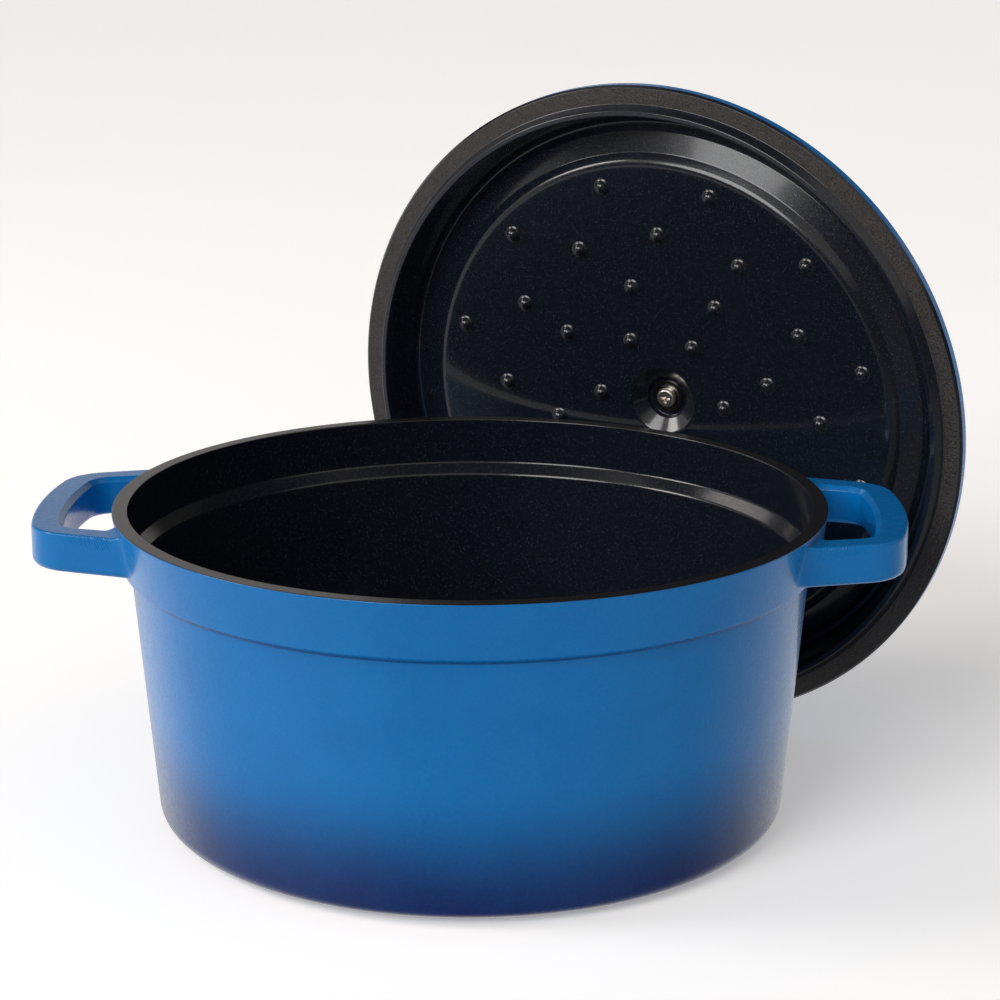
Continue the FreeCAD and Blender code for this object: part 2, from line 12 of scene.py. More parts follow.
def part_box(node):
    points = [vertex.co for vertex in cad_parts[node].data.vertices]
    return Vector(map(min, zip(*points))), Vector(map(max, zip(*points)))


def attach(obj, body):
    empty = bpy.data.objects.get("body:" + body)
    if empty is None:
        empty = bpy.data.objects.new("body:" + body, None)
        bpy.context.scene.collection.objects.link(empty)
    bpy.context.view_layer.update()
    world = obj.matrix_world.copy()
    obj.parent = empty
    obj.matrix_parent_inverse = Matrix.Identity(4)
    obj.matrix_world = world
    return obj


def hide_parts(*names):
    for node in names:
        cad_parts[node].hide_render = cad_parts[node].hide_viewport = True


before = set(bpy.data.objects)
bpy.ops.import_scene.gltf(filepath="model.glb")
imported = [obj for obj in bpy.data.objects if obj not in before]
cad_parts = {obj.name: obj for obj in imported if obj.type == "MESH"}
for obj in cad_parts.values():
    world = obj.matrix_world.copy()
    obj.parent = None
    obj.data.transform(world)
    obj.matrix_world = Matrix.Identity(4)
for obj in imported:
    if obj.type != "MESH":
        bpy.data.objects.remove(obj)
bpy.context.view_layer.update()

MM = 0.001
TURNS = 432  # sides of a large turned piece
ARC_STEP = math.radians(9)  # turn between two points of a rounded corner
SHARP_EDGE = math.radians(35)  # a CAD part's edge that turns more than this stays sharp
ON_AXIS = 1e-6


def centre(node):
    """The middle of a CAD part's box."""
    low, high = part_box(node)
    return (low + high) / 2


# ---- Sizes of the pot, in millimetres ----

POT_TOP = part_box("pot_body")[1].z / MM
RIM = -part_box("pot_body")[0].y / MM
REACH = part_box("pot_body")[1].x / MM
RIM_WIDTH = 6.3
BAND_TAPER = 3.7
BAND_HEIGHT = 22.0
BAND_STEP = 3.4
BAND_STEP_DROP = 2.4
WALL = 4.1
WALL_DRAFT = math.radians(5)
SHOULDER_DEPTH = 20.0
SHOULDER_DROP = 4.4
FLOOR_THICKNESS = 5.5
FOOT = 114.0
BASE_LIFT = 2.0
BASE_FILLET = 24.0
INNER_FILLET = 20.0

# ---- Sizes of the handles, in millimetres. Pairs are for the outer outline and the opening. ----

HANDLE_TOP = POT_TOP - 3.1
HANDLE_BOTTOM = HANDLE_TOP - 16.2
HANDLE_BAR = 12.0
HANDLE_CROWN = 5.5  # how far the outer end bows out
HANDLE_ANCHOR = 1.5  # how far the roots reach into the band
HANDLE_HALF = (45.0, 37.0)
HANDLE_ROOT = (math.radians(24.5), math.radians(18.0))
HANDLE_CORNER = (20.0, 10.0)
HANDLE_ROOT_FILLET = (7.0, 3.0)
TOP_ROUND = 1.0
BOTTOM_ROUND = 3.0
OPENING_CHAMFER = 2.0
SEAT_SLOPE = (3.2, 0.9)  # run and rise of the top face's slope up to the band

# Grinding marks on a handle's side, from near its root on.
RIB_START = 1.0
RIB_END = 24.0
RIB_FADES = (2.0, 6.0)  # lengths over which they come and go
RIB_PITCH = 1.15
RIB_DEPTH = 0.3
RIB_SLANT = 0.35
RIB_REACH = (5.5, 2.3)  # how far down they run, at the root and at their end
RIB_REACH_FADE = 1.2

# Steps along half a handle's outline and up its side, and shares of the way across its top and bottom.
FLARE_STEPS = 10
SIDE_STEPS = 220
CORNER_STEPS = 20
CROWN_STEPS = 20
UPRIGHT_STEPS = 30
ROUND_STEPS = 6
ACROSS = (0.04, 0.12, 0.3, 0.5, 0.7, 0.88, 0.96)

# ---- Sizes of the lid, in millimetres. A rise is a height over the flange's flat face. ----

LID_EDGE_BEVEL = 1.0
LID_EDGE_RISE = 1.2
LID_EDGE_TOP = 5.2
LID_SLOPE = 4.0
LID_SLOPE_RISE = 7.6
FLANGE_INNER = RIM - LID_EDGE_BEVEL - 7.1
LIP_WIDTH = 2.2
LIP_INNER = FLANGE_INNER - 2.4 - LIP_WIDTH
LIP_HEIGHT = 3.8
CHANNEL_OUTER = LIP_INNER - 5.2
CHANNEL_OUTER_RISE = 17.7
CHANNEL_INNER = CHANNEL_OUTER - 5.0
CHANNEL_INNER_RISE = 14.9
BORDER_OUTER = CHANNEL_INNER - 8.7
BORDER_RISE = 11.8
PANEL_EDGE = BORDER_OUTER - 4.2
PANEL_RISE = 14.5
PANEL_CROWN = 6.0
PANEL_STEPS = 24
SKIRT = RIM - LID_SLOPE - 5.0
SKIRT_RISE = 8.6
WALL_HEAD = SKIRT - 3.4
WALL_HEAD_RISE = 18.8
RIDGE_RISE = 22.6
RIDGE_OUTER = WALL_HEAD - 5.8
RIDGE_INNER = RIDGE_OUTER - 8.0
WELL_EDGE = RIDGE_INNER - 10.5
WELL_RISE = 13.4
DOME_RISE = 18.5
BOSS = 15.5
BOSS_FLARE = 3.0
BOSS_RISE = 24.5
GASKET = 1.2
SCREW_HOLE = 2.8
RECESS = 9.0
RECESS_RISE = 21.0
RECESS_MOUTH = 9.5
RECESS_MOUTH_RISE = 18.8
RECESS_FUNNEL = 15.5
BUMP = 2.8
BUMP_FOOT = 3.9
BUMP_FLARE = 0.9
BUMP_SUNK = 0.5
BUMP_SIDES = 40
BUMP_RINGS = ((30.0, 6, 0.0), (53.0, 8, 30.0), (76.6, 12, 0.0), (99.8, 12, 15.0))  # radius, count, start
LID_SPIN = math.radians(1.0)

# The lid's own frame: its axis goes out through the knob, with the flange's flat face at height 0.
lid_axis = (centre("knob_gasket") - centre("flat_washer")).normalized()
lid_origin = centre("knob_gasket") - lid_axis * (BOSS_RISE + GASKET / 2) * MM
lid_across = Vector((lid_axis.y, -lid_axis.x, 0)).normalized()
lid_down = lid_axis.cross(lid_across)
LID_PLACE = Matrix((lid_across, lid_down, lid_axis)).transposed().to_4x4()
LID_PLACE = Matrix.Translation(lid_origin) @ LID_PLACE @ Matrix.Rotation(LID_SPIN, 4, "Z")


# ---- Mesh building ----


def rounded(corners):
    """An outline with its corners rounded. Each corner is (radius, height, rounding, surface from here on).

    Gives the points and, for each point, the surface of the run that leaves it."""
    points, surfaces = [], []
    count = len(corners)
    for i, (r, z, rounding, surface) in enumerate(corners):
        here = Vector((r, z))
        before = Vector(corners[i - 1][:2]) - here
        after = Vector(corners[(i + 1) % count][:2]) - here
        last_surface = corners[i - 1][3]
        ended = i in (0, count - 1) or rounding <= 0
        turn = 0 if ended else math.pi - before.angle(after)
        if turn < 1e-3:
            points.append(here)
            surfaces.append(surface)
            continue
        reach = rounding * math.tan(turn / 2)
        reach = min(reach, 0.49 * before.length, 0.49 * after.length)
        start, end = here + before.normalized() * reach, here + after.normalized() * reach
        middle = (before.normalized() + after.normalized()).normalized()
        radius = reach / math.tan(turn / 2)
        hub = here + middle * radius / math.cos(turn / 2)
        steps = max(3, math.ceil(turn / ARC_STEP))
        for k in range(steps + 1):
            spoke = (start - hub).normalized().slerp((end - hub).normalized(), k / steps)
            points.append(hub + spoke * radius)
            surfaces.append(last_surface if k < steps / 2 else surface)
    return points, surfaces


def spherical(start, end, rise, sphere, count):
    """Radius and height of points on a shallow cap, between two radii."""
    out = []
    for k in range(count + 1):
        r = start + (end - start) * k / count
        out.append((r, rise - sphere + math.sqrt(sphere * sphere - r * r)))
    return out


def new_object(name, vertices, faces, slots, materials, place=None):
    """A smooth object in the scene. Each face's slot is the number of its material."""
    mesh = bpy.data.meshes.new(name)
    mesh.from_pydata(vertices, [], faces)
    for material in materials:
        mesh.materials.append(material)
    mesh.polygons.foreach_set("material_index", slots)
    mesh.polygons.foreach_set("use_smooth", [True] * len(faces))
    mesh.validate()
    if place:
        mesh.transform(place)
    piece = bpy.data.objects.new(name, mesh)
    bpy.context.scene.collection.objects.link(piece)
    return piece


def spun(profile, sides, first=0):
    """Points of a profile spun about the Z axis, and the numbers of each ring's points, from first on.

    A point of the profile on the axis stays one point."""
    points, rings = [], []
    for radius, height in profile:
        here = first + len(points)
        if radius < ON_AXIS:
            rings.append([here] * sides)
            points.append(Vector((0, 0, height)))
            continue
        rings.append(list(range(here, here + sides)))
        for k in range(sides):
            a = math.tau * k / sides
            points.append(Vector((radius * math.cos(a), radius * math.sin(a), height)))
    return points, rings


def faces_between(low, high):
    """The faces from one ring to the next, as triangles where a ring is one point."""
    faces = []
    for k in range(len(low)):
        n = (k + 1) % len(low)
        corners = [low[k], low[n], high[n], high[k]]
        faces.append([v for j, v in enumerate(corners) if v not in corners[:j]])
    return faces


def turned(name, corners, materials, place=None):
    """A closed piece turned about its Z axis. Surfaces name the keys of materials."""
    outline, surfaces = rounded(corners)
    keys = list(materials)
    points, rings = spun(outline, TURNS)
    if outline[0].x > ON_AXIS:
        rings.append(rings[0])
    faces, slots = [], []
    for low, high, surface in zip(rings, rings[1:], surfaces):
        strip = faces_between(low, high)
        faces += strip
        slots += [keys.index(surface)] * len(strip)
    return new_object(name, [p * MM for p in points], faces, slots, list(materials.values()), place)


def even_shading(piece):
    """Flat faces keep their own normal beside rounded edges."""
    modifier = piece.modifiers.new("even_shading", "WEIGHTED_NORMAL")
    modifier.mode = "FACE_AREA_WITH_ANGLE"
    modifier.keep_sharp = True


def smooth_cad(node):
    """Smooth shading with sharp edges on a CAD part that stays in view."""
    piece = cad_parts[node]
    mesh = piece.data
    mesh.polygons.foreach_set("use_smooth", [True] * len(mesh.polygons))
    weld = piece.modifiers.new("weld", "WELD")
    weld.merge_threshold = 1e-6
    split = piece.modifiers.new("sharp_edges", "EDGE_SPLIT")
    split.split_angle = SHARP_EDGE
    return piece


def dress(piece, material):
    """One material all over a CAD part."""
    piece.data.materials.clear()
    piece.data.materials.append(material)


# ---- Materials ----


class Shader:
    """A material's node tree, with short ways to add and join nodes."""

    def __init__(self, name):
        self.material = bpy.data.materials.new(name)
        self.material.use_nodes = True
        self.tree = self.material.node_tree
        self.surface = self.tree.nodes["Principled BSDF"]
        self.place = self.tree.nodes.new("ShaderNodeTexCoord").outputs["Object"]

    def node(self, kind, **inputs):
        """A new node of a kind, with its inputs by name."""
        made = self.tree.nodes.new("ShaderNode" + kind)
        for name, value in inputs.items():
            self.feed(made.inputs[name.replace("_", " ")], value)
        return made

    def feed(self, socket, value):
        """Joins another node's output to a socket, or sets the socket to a number or colour."""
        if isinstance(value, bpy.types.NodeSocket):
            self.tree.links.new(value, socket)
        else:
            socket.default_value = value

    def set(self, **inputs):
        """Sets the surface's inputs by name."""
        for name, value in inputs.items():
            self.feed(self.surface.inputs[name.replace("_", " ")], value)

    def noise(self, scale, detail=3.0, roughness=0.5, vector=None):
        made = self.node("TexNoise", Scale=scale, Detail=detail, Roughness=roughness)
        self.feed(made.inputs["Vector"], vector or self.place)
        return made.outputs["Fac"]

    def cells(self, scale):
        made = self.node("TexVoronoi", Scale=scale)
        self.feed(made.inputs["Vector"], self.place)
        return made

    def math(self, operation, a, b=0.0):
        made = self.tree.nodes.new("ShaderNodeMath")
        made.operation = operation
        for socket, value in zip(made.inputs, (a, b)):
            self.feed(socket, value)
        return made.outputs[0]

    def spread(self, value, low, high, to_low=0.0, to_high=1.0):
        """A value between low and high, eased over to a new range."""
        made = self.tree.nodes.new("ShaderNodeMapRange")
        made.interpolation_type = "SMOOTHSTEP"
        ends = {"From Min": low, "From Max": high, "To Min": to_low, "To Max": to_high}
        for name, x in {"Value": value, **ends}.items():
            self.feed(made.inputs[name], x)
        return made.outputs["Result"]

    def mix(self, share, a, b):
        """Colour a where the share is 0 and colour b where it is 1."""
        made = self.tree.nodes.new("ShaderNodeMix")
        made.data_type = "RGBA"
        self.feed(made.inputs["Factor"], share)
        self.feed(made.inputs[6], a)
        self.feed(made.inputs[7], b)
        return made.outputs[2]

    def axes(self):
        """The place's X, Y and Z."""
        return self.node("SeparateXYZ", Vector=self.place).outputs

    def bump(self, height, strength, distance, under=None):
        """The surface's direction with a bump, on top of another bump if one is under it."""
        made = self.node("Bump", Strength=strength, Distance=distance, Height=height)
        if under:
            self.feed(made.inputs["Normal"], under)
        return made.outputs["Normal"]


def linear(level):
    """The linear strength of a 0-255 level that a screen shows."""
    return ((level / 255 + 0.055) / 1.055) ** 2.4 if level > 10 else level / 255 / 12.92


def rgb(red, green, blue):
    """A linear colour from the 0-255 levels that a screen shows."""
    return (linear(red), linear(green), linear(blue), 1.0)


def enamel(name, fade=None, crease=None):
    """Gloss azure enamel with orange peel and fine flecks.

    It goes over from navy to azure between the two heights of the fade, and darkens with painted
    shade between the two heights of the crease, where the band overhangs the wall."""
    s = Shader(name)
    colour = azure = rgb(2, 102, 168)
    if fade is not None:
        wander = s.math("MULTIPLY", s.math("SUBTRACT", s.noise(18), 0.5), FADE_WANDER)
        height = s.math("ADD", s.axes()["Z"], wander)
        colour = s.mix(s.spread(height, *fade), rgb(8, 32, 86), azure)
    grain = s.noise(2400, 2.0)
    colour = s.mix(s.spread(grain, 0.4, 0.75, 0.0, 0.06), colour, rgb(40, 135, 200))
    colour = s.mix(s.spread(s.noise(45, 4.0), 0.4, 0.7, 0.0, 0.12), colour, rgb(4, 72, 138))
    if crease is not None:
        low, high = crease
        height = s.axes()["Z"]
        # Painted shade: a darker blue in the crease under the band, where the overhang shades the wall.
        crease_shade = s.math("MULTIPLY", s.spread(height, low - CREASE_FADE, low), s.spread(height, high, low))
        colour = s.mix(s.math("MULTIPLY", crease_shade, 0.8), colour, rgb(2, 48, 104))
    s.set(Base_Color=colour, IOR=1.45, Coat_Weight=0.25, Coat_Roughness=0.06, Coat_IOR=1.4)
    s.set(Roughness=s.spread(s.noise(500), 0.3, 0.7, 0.24, 0.32), Specular_IOR_Level=0.28)
    s.set(Normal=s.bump(grain, 0.08, 0.0002, s.bump(s.noise(260, 1.0), 0.02, 0.0005)))
    s.set(Coat_Normal=s.bump(s.noise(120, 1.0), 0.02, 0.0005))
    return s.material


def dark_coat():
    """Black cooking surface with fine blue-white flakes under a thin gloss."""
    s = Shader("dark_coat")
    flakes = s.cells(3200)
    pick = s.node("SeparateXYZ", Vector=flakes.outputs["Color"]).outputs
    lit = s.math("MULTIPLY", s.spread(pick["X"], 0.9, 1.0, 0.0, 0.7), pick["Y"])
    dots = s.math("MULTIPLY", lit, s.spread(flakes.outputs["Distance"], 0.5, 0.3))
    base = s.mix(s.noise(900, 3.0), rgb(8, 10, 15), rgb(25, 29, 40))
    tint = s.mix(pick["Z"], rgb(85, 132, 168), rgb(132, 146, 168))
    s.set(Base_Color=s.mix(dots, base, tint), Metallic=s.math("MULTIPLY", dots, 0.6))
    s.set(Roughness=s.spread(s.noise(900), 0.3, 0.7, 0.15, 0.22), Specular_IOR_Level=0.42)
    s.set(Coat_Weight=0.4, Coat_Roughness=0.07)
    s.set(Normal=s.bump(s.noise(2600, 2.0), 0.08, 0.0002, s.bump(s.noise(90, 1.0), 0.03, 0.001)))
    return s.material


def bare_rim():
    """Flat machined rim under a thin matte coat, with fine grit."""
    s = Shader("bare_rim")
    grit = s.noise(3000, 3.0)
    colour = s.mix(grit, rgb(7, 8, 11), rgb(30, 30, 34))
    colour = s.mix(s.spread(s.noise(240, 4.0), 0.62, 0.78, 0.0, 0.5), colour, rgb(14, 14, 16))
    s.set(Base_Color=colour, Roughness=s.spread(grit, 0.3, 0.7, 0.24, 0.34), Specular_IOR_Level=0.85)
    s.set(Normal=s.bump(grit, 0.3, 0.0002))
    return s.material


def matte_flange():
    """The lid's flange: matte black with a fine sandy grain."""
    s = Shader("matte_flange")
    grit = s.noise(1500, 4.0, 0.7)
    sand = s.spread(grit, 0.3, 0.7)
    s.set(Base_Color=s.mix(sand, rgb(3, 4, 6), rgb(66, 60, 57)))
    s.set(Roughness=s.spread(grit, 0.3, 0.7, 0.34, 0.5), Normal=s.bump(grit, 0.7, 0.0005))
    return s.material


def foot_face():
    """The ground foot: dark, dull and scratched in rings."""
    s = Shader("foot_face")
    x, y, _ = (s.axes()[axis] for axis in "XYZ")
    radius = s.math("SQRT", s.math("ADD", s.math("MULTIPLY", x, x), s.math("MULTIPLY", y, y)))
    ring = s.node("CombineXYZ", X=s.math("MULTIPLY", radius, 900.0))
    lines = s.noise(1.0, 3.0, vector=ring.outputs[0])
    s.set(Base_Color=s.mix(lines, rgb(14, 15, 20), rgb(52, 54, 62)), Metallic=0.3)
    s.set(Roughness=s.spread(lines, 0.3, 0.7, 0.4, 0.65), Normal=s.bump(lines, 0.3, 0.0002))
    return s.material


def steel(name, tint, rough, grain_scale, strength):
    """Metal with fine turning marks round the lid's axis, and faint smudges."""
    s = Shader(name)
    to_hub = s.node("VectorMath", Vector=s.place)
    to_hub.operation = "SUBTRACT"
    to_hub.inputs[1].default_value = lid_origin
    along = s.node("VectorMath", Vector=to_hub.outputs[0])
    along.operation = "DOT_PRODUCT"
    along.inputs[1].default_value = lid_axis
    length = s.node("VectorMath", Vector=to_hub.outputs[0])
    length.operation = "LENGTH"
    marks = s.node("CombineXYZ", X=along.outputs["Value"], Y=length.outputs["Value"])
    lines = s.noise(grain_scale, 2.0, vector=marks.outputs[0])
    smudge = s.spread(s.noise(160, 3.0), 0.5, 0.8, 0.0, 0.06)
    s.set(Base_Color=s.mix(s.math("MULTIPLY", lines, 0.25), tint, rgb(120, 116, 110)), Metallic=1.0)
    s.set(Roughness=s.math("ADD", s.spread(lines, 0.3, 0.7, rough, rough * 1.5), smudge))
    s.set(Normal=s.bump(lines, strength, 0.0001))
    return s.material


def rubber():
    """Black silicone with a little dust."""
    s = Shader("gasket_rubber")
    dust = s.noise(1800, 3.0)
    s.set(Base_Color=s.mix(dust, rgb(14, 14, 15), rgb(40, 40, 42)))
    s.set(Roughness=s.spread(dust, 0.3, 0.7, 0.55, 0.75), Normal=s.bump(dust, 0.3, 0.0002))
    return s.material


# Heights on the pot's enamel, in metres: its fade at the foot, and the crease under its band, which gets
# painted shade.
FADE = (0.006, 0.062)
FADE_WANDER = 0.012
CREASE = ((POT_TOP - BAND_HEIGHT - BAND_STEP_DROP) * MM, (POT_TOP - BAND_HEIGHT) * MM)
CREASE_FADE = 0.0007

POT_BLUE = enamel("pot_enamel_blue", FADE, CREASE)
LID_BLUE = enamel("lid_enamel_blue")
DARK = dark_coat()
RIM_BARE = bare_rim()
FLANGE = matte_flange()
FOOT_DULL = foot_face()
BRIGHT_STEEL = steel("bright_steel", rgb(246, 240, 233), 0.26, 3000, 0.06)
DULL_STEEL = steel("dull_steel", rgb(150, 146, 141), 0.18, 3000, 0.1)
BRUSHED_STEEL = steel("brushed_steel", rgb(196, 194, 190), 0.24, 6000, 0.25)
BRASS = steel("turned_brass", rgb(200, 160, 95), 0.25, 5000, 0.2)
RUBBER = rubber()


# ---- Pot ----


def build_vessel():
    """The pot without its handles: foot, wall, band, bare rim and dark inside."""
    band_low = (RIM - BAND_TAPER, POT_TOP - BAND_HEIGHT)
    wall_top = (band_low[0] - BAND_STEP, band_low[1] - BAND_STEP_DROP)
    shoulder = POT_TOP - SHOULDER_DEPTH
    inner_top = (wall_top[0] - WALL, shoulder - SHOULDER_DROP)
    lean = math.tan(WALL_DRAFT)
    corners = [
        (0, 0, 0, "foot"),
        (FOOT, 0, 0.6, "outside"),
        (FOOT, BASE_LIFT, 0.4, "outside"),
        (wall_top[0] - (wall_top[1] - BASE_LIFT) * lean, BASE_LIFT, BASE_FILLET, "outside"),
        (*wall_top, 0.9, "outside"),
        (*band_low, 0.5, "outside"),
        (RIM, POT_TOP, 0.5, "rim"),
        (RIM - RIM_WIDTH, POT_TOP, 0.5, "inside"),
        (RIM - RIM_WIDTH, shoulder, 1.5, "inside"),
        (*inner_top, 2.0, "inside"),
        (inner_top[0] - (inner_top[1] - FLOOR_THICKNESS) * lean, FLOOR_THICKNESS, INNER_FILLET, "inside"),
        (0, FLOOR_THICKNESS, 0, "inside"),
    ]
    surfaces = {"outside": POT_BLUE, "rim": RIM_BARE, "inside": DARK, "foot": FOOT_DULL}
    return turned("pot_vessel", corners, surfaces)


def band_radius(z):
    """Radius of the rim band's outer face at a height."""
    return RIM - BAND_TAPER * (POT_TOP - z) / BAND_HEIGHT


def arc_points(hub, radius, start, end, count):
    """Points and outward directions on an arc, between two angles."""
    out = []
    for k in range(count):
        a = start + (end - start) * k / count
        spoke = Vector((math.cos(a), math.sin(a)))
        out.append((hub + spoke * radius, spoke))
    return out


def half_outline(which, z):
    """Half of the handle's outer outline (which 0) or of its opening (which 1), seen from above.

    Runs from inside the band to the middle of the crown, for the handle on the +X side. Gives points
    with their directions out of the bar."""
    out_of_bar = 1 if which == 0 else -1
    anchor = RIM - BAND_TAPER - HANDLE_ANCHOR
    root = Vector((math.cos(HANDLE_ROOT[which]), math.sin(HANDLE_ROOT[which]))) * anchor
    crown = REACH - (HANDLE_BAR if which else 0)
    bow = (HANDLE_HALF[0] ** 2 + HANDLE_CROWN**2) / (2 * HANDLE_CROWN)
    corner_x = crown - HANDLE_CROWN * (1 if which == 0 else HANDLE_HALF[1] / HANDLE_HALF[0])
    corner = Vector((corner_x, HANDLE_HALF[which]))
    bow_rise = bow - math.sqrt(bow * bow - HANDLE_HALF[which] ** 2)
    bow_hub = Vector((corner_x + bow_rise - bow, 0))
    along = (corner - root).normalized()
    inward = Vector((along.y, -along.x))
    radius = HANDLE_CORNER[which]
    hub = corner_fillet_hub(root + inward * radius, along, bow_hub, bow - radius)
    side_end = hub - inward * radius
    fillet = HANDLE_ROOT_FILLET[which]
    flare = root - inward * fillet * out_of_bar
    foot_hub = corner_fillet_hub(flare, along, Vector((0, 0)), band_radius(z) + fillet)
    side_start = foot_hub + inward * fillet * out_of_bar
    onto_band = foot_hub.normalized() * band_radius(z)
    first = math.atan2(*(onto_band - foot_hub).yx)
    last = math.atan2(*(side_start - foot_hub).yx)
    last = first + (last - first + math.pi) % math.tau - math.pi
    run = [(point, -spoke) for point, spoke in arc_points(foot_hub, fillet, first, last, FLARE_STEPS)]
    side = -inward * out_of_bar
    for k in range(SIDE_STEPS):
        run.append((side_start.lerp(side_end, k / SIDE_STEPS), side))
    first = math.atan2(*(side_end - hub).yx)
    last = math.atan2(*(hub - bow_hub).yx)
    for point, spoke in arc_points(hub, radius, first, last, CORNER_STEPS):
        run.append((point, spoke * out_of_bar))
    for point, spoke in arc_points(bow_hub, bow, last, 0, CROWN_STEPS):
        run.append((point, spoke * out_of_bar))
    run.append((bow_hub + Vector((bow, 0)), Vector((out_of_bar, 0))))
    under_skin = onto_band.normalized() * (band_radius(z) - HANDLE_ANCHOR)
    return [(under_skin, run[0][1])] + run


def corner_fillet_hub(start, along, hub, distance):
    """The point on a line at a distance from a hub, on the far side along it."""
    to_start = start - hub
    half = to_start.dot(along)
    return start + along * (-half + math.sqrt(half * half - to_start.length_squared + distance * distance))


def side_profile(top, chamfered):
    """Height and inset of points up one upright side of the bar.

    The side is rounded at its foot, and rounded or chamfered at its top. A chamfer's edges are eased."""
    turns = [math.pi / 2 * k / ROUND_STEPS for k in range(ROUND_STEPS + 1)]
    low, high = HANDLE_BOTTOM + BOTTOM_ROUND, HANDLE_TOP - top
    out = [(low - BOTTOM_ROUND * math.cos(a), BOTTOM_ROUND * (1 - math.sin(a))) for a in turns]
    out += [(low + (high - low) * k / UPRIGHT_STEPS, 0.0) for k in range(1, UPRIGHT_STEPS)]
    if chamfered:
        out += [(high, 0.0), (high + top * 0.12, top * 0.06)]
        out += [(HANDLE_TOP - top * 0.06, top * 0.88), (HANDLE_TOP, top)]
    else:
        out += [(high + top * math.sin(a), top * (1 - math.cos(a))) for a in turns]
    return out


def rib_depth(distance, z):
    """How far a grinding mark cuts into the bar's side, at a distance from the root."""
    below = HANDLE_TOP - TOP_ROUND - z
    if distance < RIB_START or distance > RIB_END or below < -TOP_ROUND:
        return 0.0
    first, last = RIB_REACH
    reach = first + (last - first) * distance / RIB_END + 0.8 * noise.noise((distance * 0.4, 3.1, 0))
    fade = max(0.0, min(1.0, (reach - below) / RIB_REACH_FADE))
    fade *= min(1.0, (distance - RIB_START) / RIB_FADES[0], (RIB_END - distance) / RIB_FADES[1])
    wander = 0.35 * noise.noise((distance * 0.8, 0, 7.7))
    phase = (distance + RIB_SLANT * below + wander) / RIB_PITCH
    uneven = 0.75 + 0.5 * noise.noise((distance, below * 0.2, 1.3))
    return RIB_DEPTH * fade * uneven * (0.5 + 0.5 * math.cos(math.tau * phase))


def rib_inset(half, index, z):
    """How far the grinding marks cut in at one point of half a handle's outline."""
    if not FLARE_STEPS < index <= FLARE_STEPS + SIDE_STEPS + CORNER_STEPS:
        return 0.0
    length = (half[FLARE_STEPS + SIDE_STEPS][0] - half[FLARE_STEPS + 1][0]).length
    return rib_depth((index - FLARE_STEPS - 1) * length / SIDE_STEPS, z)


def build_handle(name, side):
    """A loop handle on the +X side (side 1) or the -X side (side -1), its roots inside the rim band."""
    outer_side = side_profile(TOP_ROUND, chamfered=False)
    inner_side = side_profile(OPENING_CHAMFER, chamfered=True)
    outlines = {}

    def outline(which, z):
        key = (which, round(z, 6))
        if key not in outlines:
            outlines[key] = half_outline(which, z)
        return outlines[key]

    half_count = len(outline(0, HANDLE_TOP))
    stations = 2 * half_count - 1

    def at(which, z, inset, station):
        """A point of the outline at a station, pushed into the bar by an inset."""
        flip = station >= half_count
        index = stations - 1 - station if flip else station
        point, out = outline(which, z)[index]
        spot = point - out * inset
        return Vector((spot.x, -spot.y if flip else spot.y))

    # Each row is one point round the bar's section: up a side, or across the top or bottom face.
    rows = [("side", 0, z, d) for z, d in outer_side]
    rows += [("face", HANDLE_TOP, u, outer_side[-1][1], inner_side[-1][1]) for u in ACROSS]
    rows += [("side", 1, z, d) for z, d in reversed(inner_side)]
    rows += [("face", HANDLE_BOTTOM, 1 - u, outer_side[0][1], inner_side[0][1]) for u in ACROSS]
    vertices = []
    for station in range(stations):
        for row in rows:
            if row[0] == "side":
                _, which, height, inset = row
                if which == 0 and station >= half_count:
                    inset += rib_inset(outline(0, height), stations - 1 - station, height)
                spot = at(which, height, inset, station)
            else:
                _, height, share, outer_inset, inner_inset = row
                spot = at(0, height, outer_inset, station).lerp(at(1, height, inner_inset, station), share)
            least = band_radius(height) - HANDLE_ANCHOR
            if spot.length < least:
                spot = spot.normalized() * least
            if height > HANDLE_TOP - TOP_ROUND:
                gap = spot.length - band_radius(HANDLE_TOP)
                lift = max(0.0, 1 - max(gap, 0.0) / SEAT_SLOPE[0]) * SEAT_SLOPE[1]
                height = height + lift * (height - HANDLE_TOP + TOP_ROUND) / TOP_ROUND
            vertices.append((spot.x * side * MM, spot.y * MM, height * MM))
    count = len(rows)
    faces = []
    for station in range(stations - 1):
        for k in range(count):
            n = (k + 1) % count
            a, b = station * count, (station + 1) * count
            face = [a + k, a + n, b + n, b + k]
            faces.append(face if side > 0 else face[::-1])
    first, last = list(range(count)), list(range((stations - 1) * count, stations * count))
    faces += [first[::-1], last] if side > 0 else [first, last[::-1]]
    return new_object(name, vertices, faces, [0] * len(faces), [POT_BLUE])


# ---- Lid ----


def cap_sphere(radius, rise):
    """Radius of the sphere that a shallow cap is part of."""
    return (radius * radius + rise * rise) / (2 * rise)


PANEL_SPHERE = cap_sphere(PANEL_EDGE, PANEL_CROWN)
DOME_SPHERE = cap_sphere(WELL_EDGE, DOME_RISE - WELL_RISE)


